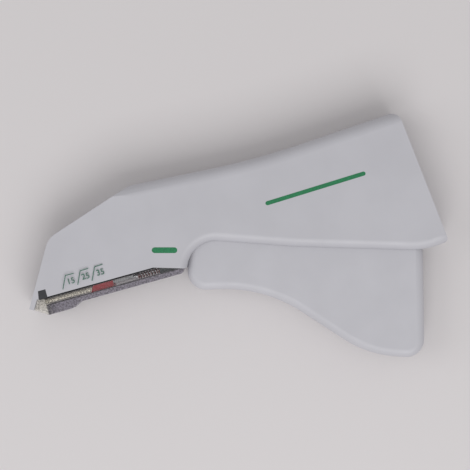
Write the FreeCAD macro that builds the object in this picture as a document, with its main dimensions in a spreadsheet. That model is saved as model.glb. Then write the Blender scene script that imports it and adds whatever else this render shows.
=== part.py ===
import FreeCAD, Part
import math
import os
import Sketcher

# Disposable skin stapler lying on its side. Millimetres and degrees.
# X runs to the rear of the handle, Y up the side of the stapler, Z through its thickness.
# The origin is on the trigger's pivot axis, on the face that the stapler lies on.

# Driving sizes
driving_sizes = {
    # Spare length of the cutters past the piece that they cut
    "spare": 5.0,
    # Body shells
    "bodyWidth": 22.0,
    "wall": 1.8,
    "noseReach": 65.9,
    "noseDrop": 26.2,
    "noseWidth": 18.5,
    "frontAngle": 75.1,
    "frontHeight": 24.9,
    "browRadius": 8.5,
    "kinkBack": 28.0,
    "kinkHeight": 18.4,
    "saddleX": 19.9,
    "saddleY": 28.2,
    "shoulderX": 74.6,
    "shoulderY": 46.9,
    "heelX": 94.2,
    "heelY": 3.1,
    "lipRearX": 86.0,
    "lipRearY": 6.6,
    "lipMidX": 35.0,
    "lipMidY": 5.1,
    "recessFront": 6.1,
    "recessTop": 2.0,
    "recessRadius": 11.0,
    "footStep": 0.36,
    "topRound": 4.5,
    "lipRound": 3.2,
    # Height that parts the upper side edges from the lower ones
    "edgeSplit": 5.0,
    "footRound": 0.8,
    "lipMidRound": 150.0,
    "lipRearRound": 30.0,
    "heelRound": 1.5,
    "shoulderRound": 4.0,
    "saddleRound": 300.0,
    "kinkRound": 6.0,
    "frontLip": 3.2,
    "postRadius": 2.6,
    "post1X": -38.0,
    "post1Y": 5.4,
    "post2X": 13.0,
    "post2Y": 21.0,
    "post3X": 45.0,
    "post3Y": 30.0,
    "post4X": 70.0,
    "post4Y": 39.0,
    "locatorRadius": 1.5,
    "locatorLength": 3.6,
    "locatorRoot": 1.0,
    "socketSpare": 0.4,
    "ribStart": 2.0,
    "ribThick": 1.2,
    "ribDepth": 1.1,
    "ribPitch": 22.0,
    "ribCount": 4,
    # Channel under the nose
    "channelAngle": 15.5,
    "channelLength": 48.5,
    "slotWidth": 10.0,
    "slotDepth": 3.0,
    "slotInset": 1.8,
    # Trigger
    "triggerWidth": 14.6,
    "triggerWall": 2.0,
    "triggerGap": 0.3,
    "triggerTravel": 16.0,
    "fingerX": 6.0,
    "fingerY": 22.3,
    "hollowX": 23.3,
    "hollowY": 20.8,
    "palmX": 63.3,
    "palmY": 46.9,
    "tailX": 85.5,
    "tailY": 48.5,
    "tailTopX": 78.0,
    "tailTopY": 3.0,
    "hubReach": 6.4,
    "triggerRound": 3.0,
    "webHeight": 11.0,
    "triggerRib": 1.6,
    "triggerRibStart": 18.0,
    "triggerRibPitch": 17.0,
    "triggerRibTop": 13.2,
    "fingerRound": 7.0,
    "hollowRound": 55.0,
    "palmRound": 42.0,
    "tailRound": 7.0,
    "tailLean": 0.6,
    "tailStep": 0.5,
    "tailTopRound": 2.0,
    "hubRound": 5.0,
    # Axles
    "pivotRadius": 2.0,
    "rockerPinRadius": 1.5,
    "drivePinRadius": 1.5,
    "magazinePinRadius": 0.9,
    "bossWall": 1.5,
    "runClearance": 0.05,
    "pinInset": 1.2,
    "pinEndGap": 0.1,
    "chamferShare": 0.2,
    # Rocker
    "rockerBack": 15.0,
    "rockerDrop": 5.0,
    "rockerThick": 3.6,
    "driveReach": 9.0,
    "noseBallRadius": 2.0,
    "neckHeight": 2.8,
    "sideGap": 0.3,
    "rockerHub": 4.6,
    "rockerTop": 6.2,
    "rockerTail": 3.9,
    "windowGap": 1.3,
    "slotPlay": 0.4,
    "neckLength": 6.5,
    "throatLead": 3.5,
    "throatDrop": 4.8,
    "throatRound": 1.2,
    "elbowBack": 12.5,
    "elbowRise": 1.2,
    "elbowRound": 10.0,
    "footBack": 1.5,
    "rockerFootRound": 5.0,
    "rockerTailDrop": 5.2,
    "rockerTailRound": 4.0,
    "rockerBackRound": 20.0,
    "rockerBrowLead": 10.2,
    "rockerBrow": 6.6,
    "rockerBrowRound": 6.0,
    "jawLead": 4.5,
    "jawDrop": 1.2,
    "jawRound": 1.0,
    # Driver
    "noseplateThick": 0.8,
    "noseplateHeight": 12.0,
    "noseplateWidth": 13.0,
    "bladeThick": 0.8,
    "bladeWidth": 12.6,
    "bladeBottom": 1.95,
    "bladeTop": 22.6,
    "slideGap": 0.05,
    "headDepth": 5.7,
    "headBottom": 15.4,
    "headTop": 21.6,
    "headWidth": 11.0,
    "ballHeight": 18.5,
    "ballSetback": 2.5,
    "ballGap": 0.15,
    "guideDepth": 2.9,
    "guideTop": 11.0,
    "guideGap": 0.15,
    "guideRound": 0.8,
    "bladeNotch": 4.65,
    "bladeNotchGap": 0.5,
    "tabFront": 2.9,
    "tabTopFront": 3.5,
    "tabRear": 6.35,
    "tabTop": 2.97,
    "tabDrop": 0.3,
    "tabProud": 0.4,
    # Staples and strip
    "wireSize": 0.48,
    "staplePitch": 0.582,
    "stapleCount": 35,
    "crownWidth": 12.6,
    "legHeight": 3.1,
    "crownGap": 0.06,
    "stripThick": 1.0,
    "stripWidth": 11.2,
    "stripGap": 0.03,
    "anvilWidth": 5.6,
    "stripInset": 8.5,
    "anvilNeck": 7.5,
    "stripSlotStart": 8.5,
    "stripSlotWidth": 2.0,
    # Feeder
    "shoeLength": 7.4,
    "shoeHeight": 3.05,
    "shoeGap": 0.08,
    "keyLength": 2.5,
    "keyWidth": 1.8,
    "rodInset": 0.4,
    "shoeRound": 0.5,
    "rodRadius": 0.5,
    "rodDrop": 1.4,
    "rodTail": 2.3,
    "collarInset": 7.9,
    "collarRadius": 1.3,
    "collarLength": 0.8,
    "feedWire": 0.4,
    "feedCoil": 1.3,
    "feedTurns": 8,
    "springGap": 0.05,
    "stopLength": 7.5,
    "stopGap": 0.2,
    "stopRise": 0.5,
    "stopRound": 1.0,
    "stopBoreGap": 0.15,
    # Magazine
    "magazineWidth": 15.2,
    "magazineWall": 0.9,
    "magazineFloor": 2.0,
    "magazineDrop": 5.2,
    "chinDrop": 6.9,
    "chinFront": 4.9,
    "chinRear": 14.3,
    "chinSlope": 3.6,
    "cheekFront": 6.8,
    "cheekDrop": 0.4,
    "cheekGap": 0.1,
    "tipRound": 0.4,
    "chinFloor": 6.0,
    "chinRound": 0.8,
    "chinRearRound": 2.0,
    "slopeRound": 4.0,
    "footEdgeRound": 1.0,
    "footGap": 1.2,
    "footLip": 1.5,
    "footSlant": 1.2,
    "seatGap": 0.08,
    "lugFrontInset": 9.5,
    "lugRearInset": 4.5,
    "lugHalf": 2.0,
    "lugHeight": 4.6,
    "lugPin": 2.9,
    "lugOuter": 9.6,
    "lugThick": 1.8,
    "webOpening": 3.6,
    "webGap": 0.3,
    "ejectorThick": 0.3,
    "ejectorWidth": 4.0,
    "ejectorStart": 1.5,
    "ejectorEnd": 8.3,
    "rivetRadius": 0.6,
    "rivetHead": 0.8,
    "rivetTop": 0.35,
    "rivetFoot": 0.25,
    "rivetSpread": 2.1,
    "rivetInset": 9.9,
    # Trigger return spring
    "returnWire": 0.8,
    "returnCoil": 3.0,
    "returnTurns": 2.29,
    "returnPitch": 0.9,
    "returnStart": 140.0,
    "returnGap": 0.2,
    "anchorLeg": 14.0,
    "anchorInset": 2.0,
    "anchorRadius": 1.5,
    "triggerLeg": 23.0,
}

doc = FreeCAD.newDocument("SkinStapler")
sheet = doc.addObject("Spreadsheet::Sheet", "Size")
for row, (alias, number) in enumerate(driving_sizes.items(), start=1):
    sheet.set("A%d" % row, alias)
    sheet.set("B%d" % row, str(number))
    sheet.setAlias("B%d" % row, alias)
doc.recompute()

# Frames in the side plane: origin X, origin Y and turn about Z.
# "channel" runs rearward along the nose's lower edge, "driver" up the inside of its front wall.
frames = {
    "side": ("0", "0", "0"),
    "channel": ("-Size.noseReach", "-Size.noseDrop", "Size.channelAngle"),
    "driver": ("-Size.noseReach", "-Size.noseDrop", "Size.frontAngle - 90"),
}
half_body = "Size.bodyWidth / 2"
height_of = {}


def value(expression):
    result = sheet.evalExpression(expression)
    return float(getattr(result, "Value", result))


# Puts an object's own origin at x, y, z of a frame.
def put(item, frame, x="0", y="0", z="0"):
    origin_x, origin_y, turn = frames[frame]
    item.Placement = FreeCAD.Placement(
        FreeCAD.Vector(0, 0, 0), FreeCAD.Rotation(FreeCAD.Vector(0, 0, 1), value(turn))
    )
    item.setExpression("Placement.Rotation.Angle", turn)
    item.setExpression("Placement.Base.x", f"{origin_x} + ({x}) * cos({turn}) - ({y}) * sin({turn})")
    item.setExpression("Placement.Base.y", f"{origin_y} + ({x}) * sin({turn}) + ({y}) * cos({turn})")
    item.setExpression("Placement.Base.z", z)
    height_of[item.Name] = z
    return item


# Draws a closed outline whose corners are (x, y, radius), each an expression.
def draw(sketch, corners):
    count = len(corners)
    points = [FreeCAD.Vector(value(x), value(y), 0) for x, y, radius in corners]
    radii = [value(radius) for x, y, radius in corners]
    arrive, leave, arcs = [], [], []
    for index, point in enumerate(points):
        back = (points[index - 1] - point).normalize()
        ahead = (points[(index + 1) % count] - point).normalize()
        half_angle = back.getAngle(ahead) / 2
        reach = radii[index] / math.tan(half_angle)
        arrive.append(point + back * reach)
        leave.append(point + ahead * reach)
        middle = (back + ahead).normalize() * (radii[index] / math.sin(half_angle))
        arcs.append((point + middle, back.cross(ahead).z < 0))
    lines = [
        sketch.addGeometry(Part.LineSegment(leave[index], arrive[(index + 1) % count]), False)
        for index in range(count)
    ]
    for index, (x, y, radius) in enumerate(corners):
        before, after = lines[index - 1], lines[index]
        if radii[index] == 0:
            sketch.addConstraint(Sketcher.Constraint("Coincident", before, 2, after, 1))
            corner, corner_end = after, 1
        else:
            centre, left_turn = arcs[index]
            start, end = (arrive[index], leave[index]) if left_turn else (leave[index], arrive[index])
            first = math.atan2(start.y - centre.y, start.x - centre.x)
            last = math.atan2(end.y - centre.y, end.x - centre.x)
            circle = Part.Circle(centre, FreeCAD.Vector(0, 0, 1), radii[index])
            arc = sketch.addGeometry(Part.ArcOfCircle(circle, first, last), False)
            arc_start, arc_end = (1, 2) if left_turn else (2, 1)
            sketch.addConstraint(Sketcher.Constraint("Tangent", before, 2, arc, arc_start))
            sketch.addConstraint(Sketcher.Constraint("Tangent", arc, arc_end, after, 1))
            size = sketch.addConstraint(Sketcher.Constraint("Radius", arc, radii[index]))
            sketch.renameConstraint(size, "radius%d" % index)
            sketch.setExpression("Constraints.radius%d" % index, radius)
            corner, corner_end = sketch.addGeometry(Part.Point(points[index]), True), 1
            sketch.addConstraint(Sketcher.Constraint("PointOnObject", corner, 1, before))
            sketch.addConstraint(Sketcher.Constraint("PointOnObject", corner, 1, after))
        across = sketch.addConstraint(
            Sketcher.Constraint("DistanceX", -1, 1, corner, corner_end, points[index].x)
        )
        sketch.renameConstraint(across, "across%d" % index)
        sketch.setExpression("Constraints.across%d" % index, x)
        along = sketch.addConstraint(
            Sketcher.Constraint("DistanceY", -1, 1, corner, corner_end, points[index].y)
        )
        sketch.renameConstraint(along, "along%d" % index)
        sketch.setExpression("Constraints.along%d" % index, y)
    return sketch


# A plate: an outline in the side plane, extruded to both sides of the middle plane.
def plate(name, corners, width, frame="side"):
    sketch = draw(doc.addObject("Sketcher::SketchObject", name + "Outline"), corners)
    return extrude(name, sketch, width, frame)


def extrude(name, profile, width, frame="side"):
    solid = doc.addObject("Part::Extrusion", name)
    solid.Base = profile
    solid.DirMode = "Normal"
    solid.Solid = True
    solid.Symmetric = True
    solid.setExpression("LengthFwd", width)
    return put(solid, frame)


def box(name, x0, x1, y0, y1, width, frame="side", start=None):
    solid = doc.addObject("Part::Box", name)
    solid.setExpression("Length", f"({x1}) - ({x0})")
    solid.setExpression("Width", f"({y1}) - ({y0})")
    solid.setExpression("Height", width)
    return put(solid, frame, x0, y0, start or f"-({width}) / 2")


def rod(name, radius, width, x, y, frame="side", start=None):
    solid = doc.addObject("Part::Cylinder", name)
    solid.setExpression("Radius", radius)
    solid.setExpression("Height", width)
    return put(solid, frame, x, y, start or f"-({width}) / 2")


def fuse(name, *solids):
    joined = doc.addObject("Part::MultiFuse", name)
    joined.Shapes = list(solids)
    joined.Refine = True
    return joined


def common(name, *solids):
    shared = doc.addObject("Part::MultiCommon", name)
    shared.Shapes = list(solids)
    return shared


def cut(name, base, *tools):
    rest = doc.addObject("Part::Cut", name)
    rest.Base = base
    rest.Tool = tools[0] if len(tools) == 1 else fuse(name + "Tools", *tools)
    return rest


def round_edges(name, base, radius, chosen):
    doc.recompute()
    rounded = doc.addObject("Part::Fillet", name)
    rounded.Base = base
    size = value(radius)
    rounded.Edges = [
        (number, size, size) for number, edge in enumerate(base.Shape.Edges, start=1) if chosen(edge)
    ]
    return rounded


def edge_middle(edge):
    return edge.valueAt((edge.FirstParameter + edge.LastParameter) / 2)


nodes = []


# Names a finished piece and lifts it from the middle plane to its height above the rest face.
def piece(item, label):
    item.Label = label
    item.setExpression("Placement.Base.z", f"{height_of.get(item.Name, '0')} + {half_body}")
    nodes.append(item)
    return item


# Housing shells
cavity_width = "Size.bodyWidth - 2 * Size.wall"
brow_x = "-Size.noseReach + Size.frontHeight * cos(Size.frontAngle)"
brow_y = "-Size.noseDrop + Size.frontHeight * sin(Size.frontAngle)"
channel_end_x = "-Size.noseReach + Size.channelLength * cos(Size.channelAngle)"
channel_end_y = "-Size.noseDrop + Size.channelLength * sin(Size.channelAngle)"
recess_foot = f"({channel_end_y} - Size.footStep)"

body_outline = [
    ("-Size.noseReach", "-Size.noseDrop", "0"),
    (channel_end_x, channel_end_y, "0"),
    ("-Size.recessFront", recess_foot, "Size.footRound"),
    ("-Size.recessFront", "-Size.recessTop", "Size.recessRadius"),
    ("Size.lipMidX", "-Size.lipMidY", "Size.lipMidRound"),
    ("Size.lipRearX", "-Size.lipRearY", "Size.lipRearRound"),
    ("Size.heelX", "-Size.heelY", "Size.heelRound"),
    ("Size.shoulderX", "Size.shoulderY", "Size.shoulderRound"),
    ("Size.saddleX", "Size.saddleY", "Size.saddleRound"),
    ("-Size.kinkBack", "Size.kinkHeight", "Size.kinkRound"),
    (brow_x, brow_y, "Size.browRadius"),
]


# Wedge that tapers the nose: as wide as the body at the kink, narrower in front and wider behind.
def plan_form(name, inset):
    sketch = doc.addObject("Sketcher::SketchObject", name + "Outline")
    front, rear = "(-Size.noseReach - Size.spare)", "(Size.heelX + 4 * Size.spare)"
    taper = f"({half_body} - Size.noseWidth / 2) / (-Size.kinkBack - {front})"
    rear_half = f"(Size.noseWidth / 2 + {taper} * ({rear} - {front}) - {inset})"
    front_half = f"(Size.noseWidth / 2 - {inset})"
    draw(sketch, [
        (front, f"-{front_half}", "0"),
        (rear, f"-{rear_half}", "0"),
        (rear, rear_half, "0"),
        (front, front_half, "0"),
    ])
    sketch.Placement = FreeCAD.Placement(
        FreeCAD.Vector(0, 0, 0), FreeCAD.Rotation(FreeCAD.Vector(1, 0, 0), 90)
    )
    return extrude(name, sketch, "4 * (Size.shoulderY + Size.noseDrop)")


# Form whose top edges and handle lip are rounded; it runs past the body at both ends.
top_slope = "(Size.saddleY - Size.kinkHeight) / (Size.saddleX + Size.kinkBack)"
rear_slope = "(Size.shoulderY - Size.saddleY) / (Size.shoulderX - Size.saddleX)"
heel_slope = "(Size.lipRearY - Size.heelY) / (Size.heelX - Size.lipRearX)"
far_front, far_rear = "(-Size.noseReach - 5 * Size.spare)", "(Size.heelX + 3 * Size.spare)"
far_below = "(-Size.noseDrop - 7 * Size.spare)"
soft_block = plate("SoftBlock", [
    (far_front, far_below, "0"),
    ("-Size.recessFront", far_below, "0"),
    ("-Size.recessFront", "-Size.recessTop", "Size.recessRadius"),
    ("Size.lipMidX", "-Size.lipMidY", "Size.lipMidRound"),
    ("Size.lipRearX", "-Size.lipRearY", "Size.lipRearRound"),
    (far_rear, f"-Size.lipRearY + ({far_rear} - Size.lipRearX) * {heel_slope}", "0"),
    (far_rear, f"Size.shoulderY + ({far_rear} - Size.shoulderX) * {rear_slope}", "0"),
    ("Size.saddleX", "Size.saddleY", "Size.saddleRound"),
    (far_front, f"Size.saddleY + ({far_front} - Size.saddleX) * {top_slope}", "0"),
], "Size.bodyWidth")


# Margins in mm for picking edges by the place of their middle
edge_margin = 1.0
near_face = 0.01


def on_side_face(edge, half):
    ends = [vertex.Point.z for vertex in edge.Vertexes]
    return all(abs(abs(z) - half) < near_face for z in ends) and abs(sum(ends)) > half


def top_edge(edge):
    middle = edge_middle(edge)
    inside = value(far_front) + edge_margin < middle.x < value(far_rear) - edge_margin
    return on_side_face(edge, value(half_body)) and inside and middle.y > value("Size.edgeSplit")


def lip_edge(edge):
    middle = edge_middle(edge)
    inside = value(far_front) + edge_margin < middle.x < value(far_rear) - edge_margin
    low = value(far_below) + edge_margin < middle.y < value("Size.edgeSplit")
    left_of_recess = middle.x < -value("Size.recessFront") - edge_margin
    return on_side_face(edge, value(half_body)) and inside and low and not left_of_recess


soft_top = round_edges("SoftTop", soft_block, "Size.topRound", top_edge)
soft_form = round_edges("SoftForm", soft_top, "Size.lipRound", lip_edge)

body_side = draw(doc.addObject("Sketcher::SketchObject", "BodySide"), body_outline)
side_form = extrude("SideForm", body_side, "Size.bodyWidth + Size.spare")
front_lip = box(
    "FrontLip", "0", "Size.wall", "-Size.frontLip", "Size.wall", "Size.bodyWidth + Size.spare", "driver"
)
outer_form = common(
    "OuterForm", fuse("SideAndLip", side_form, front_lip), plan_form("PlanForm", "0"), soft_form
)

cavity_side = doc.addObject("Part::Offset2D", "CavitySide")
cavity_side.Source = body_side
cavity_side.setExpression("Value", "-Size.wall")
cavity_form = common(
    "CavityForm", extrude("CavitySideForm", cavity_side, cavity_width), plan_form("CavityPlan", "Size.wall")
)

# Stations of the driver across the nose, measured from the front face, and of its strip below
plate_front = "(Size.wall + Size.slideGap)"
blade_front = f"({plate_front} + Size.noseplateThick + Size.slideGap)"
blade_rear = f"({blade_front} + Size.bladeThick)"
guide_front = f"({blade_rear} + Size.slideGap)"
guide_rear = f"({guide_front} + Size.guideDepth)"
lean = "(Size.channelAngle + 90 - Size.frontAngle)"
ball_place = f"({blade_rear} + Size.ballSetback)"
guide_width = "(Size.noseplateWidth + 4 * Size.slideGap)"
mouth_width = f"({guide_width} + 4 * Size.slideGap)"

# Rocker: its frame starts at its axle and points at the trigger's pivot and drive pin at mid travel.
pivot_distance = "sqrt(Size.rockerBack ^ 2 + Size.rockerDrop ^ 2)"
pivot_bearing = "atan2(Size.rockerDrop; Size.rockerBack)"
half_swing = "(Size.triggerTravel * 1 deg / 2)"
rocker_half = (
    f"atan2(Size.driveReach * sin({half_swing}); {pivot_distance} + Size.driveReach * cos({half_swing}))"
)
frames["rocker"] = ("-Size.rockerBack", "-Size.rockerDrop", f"({pivot_bearing} - {rocker_half})")
drive_distance = (
    f"sqrt(({pivot_distance} + Size.driveReach * cos({half_swing})) ^ 2"
    f" + (Size.driveReach * sin({half_swing})) ^ 2)"
)
drive_x = f"Size.driveReach * cos({pivot_bearing} - {half_swing})"
drive_y = f"Size.driveReach * sin({pivot_bearing} - {half_swing})"

# Anchor post of the return spring, on the outer side of the leg that leaves the coil backwards
leg_bearing = "(Size.returnStart - 90)"
leg_side = "(Size.returnCoil + Size.returnWire / 2 + Size.anchorRadius + Size.slideGap)"
leg_reach = "(Size.anchorLeg - Size.anchorInset)"
anchor_x = f"{leg_side} * cos(Size.returnStart) + {leg_reach} * cos({leg_bearing})"
anchor_y = f"{leg_side} * sin(Size.returnStart) + {leg_reach} * sin({leg_bearing})"


# A boss on each shell, from its wall inward to the limit.
def bosses(name, radius, limit, x, y, frame="side"):
    length = f"{half_body} - ({limit})"
    near = rod(name + "Near", radius, length, x, y, frame, limit)
    far = rod(name + "Far", radius, length, x, y, frame, f"-{half_body}")
    return [near, far]


# Stations along the channel, measured from the nose, and the lugs' places ahead of its rear end
lug_places = {
    "FrontLug": "(Size.channelLength - Size.lugFrontInset)",
    "RearLug": "(Size.channelLength - Size.lugRearInset)",
}
corner_along = (
    f"((Size.noseReach - Size.recessFront) * cos(Size.channelAngle)"
    f" + (Size.noseDrop + {recess_foot}) * sin(Size.channelAngle))"
)
corner_drop = (
    f"((Size.noseReach - Size.recessFront) * sin(Size.channelAngle)"
    f" - (Size.noseDrop + {recess_foot}) * cos(Size.channelAngle))"
)
edge_fall = f"({corner_drop} / ({corner_along} - Size.channelLength))"
foot_along = (
    f"min({corner_along} - Size.footGap;"
    f" Size.channelLength + (Size.magazineDrop - Size.footLip) / {edge_fall})"
)
foot_drop = f"(({foot_along} - Size.channelLength) * {edge_fall} + Size.seatGap)"
slot_end = f"({foot_along} - Size.slotInset)"
lug_end = f"({lug_places['RearLug']} + Size.lugHalf)"
stop_place = f"max({slot_end} - Size.stopLength; {lug_end} + Size.stopGap)"
collar_place = "(Size.channelLength - Size.collarInset)"

post_places = [(f"Size.post{number}X", f"Size.post{number}Y") for number in (1, 2, 3, 4)]
posts = [
    rod("Post%d" % number, "Size.postRadius", "Size.bodyWidth", x, y)
    for number, (x, y) in enumerate(post_places, start=1)
]
inner_solids = posts + [rod("AnchorPost", "Size.anchorRadius", "Size.bodyWidth", anchor_x, anchor_y)]
inner_solids += bosses(
    "PivotBoss", "Size.pivotRadius + Size.bossWall", "Size.triggerWidth / 2 + Size.triggerGap", "0", "0"
)
inner_solids += bosses(
    "RockerBoss", "Size.rockerPinRadius + Size.bossWall", "Size.rockerThick / 2 + Size.sideGap",
    "-Size.rockerBack", "-Size.rockerDrop"
)
for name, place in lug_places.items():
    inner_solids += bosses(
        name + "Boss", "Size.magazinePinRadius + Size.bossWall", "Size.lugOuter / 2 + Size.sideGap",
        place, "Size.lugPin", "channel"
    )
for number in range(int(value("Size.ribCount"))):
    place = f"Size.ribStart + Size.ribPitch * {number}"
    for side, start in (("Near", f"{half_body} - Size.wall - Size.ribDepth"), ("Far", f"-{half_body}")):
        inner_solids.append(box(
            "Rib%d%s" % (number + 1, side), place, place + " + Size.ribThick", "0", "Size.shoulderY",
            "Size.wall + Size.ribDepth", "side", start
        ))
cavity = cut("Cavity", cavity_form, *inner_solids)

trigger_slot = box(
    "TriggerSlot", "-Size.fingerX - Size.triggerGap", "Size.heelX - Size.wall - 2 * Size.triggerGap",
    far_below, "Size.tailTopY", "Size.triggerWidth + 2 * Size.triggerGap"
)
driver_mouth = box(
    "DriverMouth", "Size.wall", guide_rear + " + Size.slideGap", "-2 * Size.frontLip", "Size.guideTop",
    mouth_width, "driver"
)


# The black tab at the nose tip, or the notch for it: a plate on each side of the driver's mouth.
def tip_tabs(name, gap, drop, inner_width, outer_width):
    slant = "(Size.tabTopFront - Size.tabFront) / (Size.tabTop + Size.tabDrop)"
    across = plate(name + "Across", [
        (f"Size.tabFront - {gap} - ({drop} - Size.tabDrop) * {slant}", "-" + drop, "0"),
        ("Size.tabRear + " + gap, "-" + drop, "0"),
        ("Size.tabRear + " + gap, "Size.tabTop + " + gap, "0"),
        (f"Size.tabTopFront - {gap}", "Size.tabTop + " + gap, "0"),
    ], outer_width, "channel")
    middle = box(
        name + "Middle", "-Size.spare", "Size.tabRear + Size.spare",
        "-2 * Size.spare", "Size.tabTop + Size.spare", inner_width, "channel"
    )
    return cut(name, across, middle)


tip_notch = tip_tabs(
    "TipNotch", "Size.slideGap", "Size.spare",
    guide_width + " - 4 * Size.slideGap", "Size.bodyWidth + Size.spare"
)
strip_slot = box(
    "StripSlot", "Size.cheekFront", slot_end, "-Size.spare", "Size.slotDepth", "Size.slotWidth", "channel"
)
pin_length = "(Size.bodyWidth - 2 * Size.pinInset)"


def pin_hole(name, radius, x, y, frame="side"):
    return rod(name, radius + " + Size.runClearance", pin_length + " + Size.pinEndGap", x, y, frame)


shell = cut(
    "Shell", outer_form, cavity, trigger_slot, driver_mouth, tip_notch, strip_slot,
    pin_hole("PivotHole", "Size.pivotRadius", "0", "0"),
    pin_hole("RockerHole", "Size.rockerPinRadius", "-Size.rockerBack", "-Size.rockerDrop"),
    pin_hole("FrontLugHole", "Size.magazinePinRadius", lug_places["FrontLug"], "Size.lugPin", "channel"),
    pin_hole("RearLugHole", "Size.magazinePinRadius", lug_places["RearLug"], "Size.lugPin", "channel"),
)
span = (far_front, far_rear, far_below, "Size.shoulderY + Size.spare")
left_half = common("LeftHalf", shell, box("LeftSpace", *span, "Size.bodyWidth", "side", "0"))
right_half = common("RightHalf", shell, box("RightSpace", *span, "Size.bodyWidth", "side", "-Size.bodyWidth"))
locators = [
    rod("Locator%d" % number, "Size.locatorRadius", "Size.locatorLength + Size.locatorRoot",
        x, y, "side", "-Size.locatorLength")
    for number, (x, y) in enumerate(post_places, start=1)
]
sockets = [
    rod("Socket%d" % number, "Size.locatorRadius + Size.runClearance",
        "Size.locatorLength + Size.socketSpare", x, y, "side", "-Size.locatorLength - Size.socketSpare")
    for number, (x, y) in enumerate(post_places, start=1)
]
piece(fuse("LeftShell", left_half, *locators), "left_housing")
piece(cut("RightShell", right_half, *sockets), "right_housing")


# A plain steel pin with chamfered ends, made as a padded circle.
def pin(label, radius, length, x, y, frame="side"):
    body = doc.addObject("PartDesign::Body", label.title().replace("_", ""))
    sketch = body.newObject("Sketcher::SketchObject", body.Name + "Circle")
    plane = [item for item in body.Origin.OriginFeatures if item.Role == "XY_Plane"][0]
    sketch.AttachmentSupport = (plane, [""])
    sketch.MapMode = "FlatFace"
    circle = Part.Circle(FreeCAD.Vector(0, 0, 0), FreeCAD.Vector(0, 0, 1), value(radius))
    sketch.addGeometry(circle, False)
    sketch.addConstraint(Sketcher.Constraint("Coincident", 0, 3, -1, 1))
    sketch.addConstraint(Sketcher.Constraint("Radius", 0, value(radius)))
    sketch.setExpression("Constraints[1]", radius)
    pad = body.newObject("PartDesign::Pad", body.Name + "Pad")
    pad.Profile = (sketch, [""])
    pad.SideType = "Symmetric"
    pad.setExpression("Length", length)
    doc.recompute()
    chamfer = body.newObject("PartDesign::Chamfer", body.Name + "Chamfer")
    rims = ["Edge%d" % number for number, edge in enumerate(pad.Shape.Edges, start=1) if edge.Closed]
    chamfer.Base = (pad, rims)
    chamfer.setExpression("Size", f"({radius}) * Size.chamferShare")
    body.Tip = chamfer
    return put(body, frame, x, y)


piece(pin("trigger_pivot_pin", "Size.pivotRadius", pin_length, "0", "0"), "trigger_pivot_pin")
piece(pin(
    "rocker_pin", "Size.rockerPinRadius", pin_length, "-Size.rockerBack", "-Size.rockerDrop"
), "rocker_pin")
piece(pin(
    "drive_pin", "Size.drivePinRadius", "Size.triggerWidth - 2 * Size.sideGap", drive_x, drive_y
), "drive_pin")

# Trigger: a deep channel, open towards the housing, with two cheeks on the pivot pin
trigger_side = draw(doc.addObject("Sketcher::SketchObject", "TriggerSide"), [
    ("-Size.fingerX", "-Size.fingerY", "Size.fingerRound"),
    ("Size.hollowX", "-Size.hollowY", "Size.hollowRound"),
    ("Size.palmX", "-Size.palmY", "Size.palmRound"),
    ("Size.tailX", "-Size.tailY", "Size.tailRound"),
    ("Size.tailX - Size.tailLean", "-Size.lipRearY + Size.tailStep", "0"),
    ("Size.tailTopX", "Size.tailTopY", "Size.tailTopRound"),
    ("Size.hubReach", "Size.hubReach", "Size.hubRound"),
    ("-Size.fingerX", "Size.hubReach", "0"),
])
trigger_block = extrude("TriggerBlock", trigger_side, "Size.triggerWidth")


def grip_edge(edge):
    middle = edge_middle(edge)
    outer = middle.y < -value("Size.lipRearY") or middle.x < -value("Size.fingerX") + edge_margin / 10
    return on_side_face(edge, value("Size.triggerWidth / 2")) and outer


trigger_form = round_edges("TriggerForm", trigger_block, "Size.triggerRound", grip_edge)
trigger_inset = doc.addObject("Part::Offset2D", "TriggerInset")
trigger_inset.Source = trigger_side
trigger_inset.setExpression("Value", "-Size.triggerWall")
inner_width = "Size.triggerWidth - 2 * Size.triggerWall"
trigger_hollow = fuse(
    "TriggerHollow", extrude("TriggerInsetForm", trigger_inset, inner_width),
    box("TriggerTop", "-Size.fingerX - Size.spare", "Size.tailX - Size.tailLean - Size.triggerWall",
        "-Size.webHeight", "Size.hubReach + Size.spare", inner_width)
)
trigger_ribs = [
    box("TriggerRib%d" % number, f"Size.triggerRibStart + {number} * Size.triggerRibPitch",
        f"Size.triggerRibStart + {number} * Size.triggerRibPitch + Size.triggerRib",
        "-Size.tailY - Size.spare", "-Size.triggerRibTop", "Size.triggerWidth")
    for number in range(4)
]
across_trigger = "Size.triggerWidth + Size.spare"
piece(cut(
    "TriggerShell", trigger_form, cut("TriggerPocket", trigger_hollow, *trigger_ribs),
    rod("TriggerBore", "Size.pivotRadius + Size.runClearance", across_trigger, "0", "0"),
    rod("DriveBore", "Size.drivePinRadius + Size.runClearance", across_trigger, drive_x, drive_y),
), "trigger")

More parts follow.
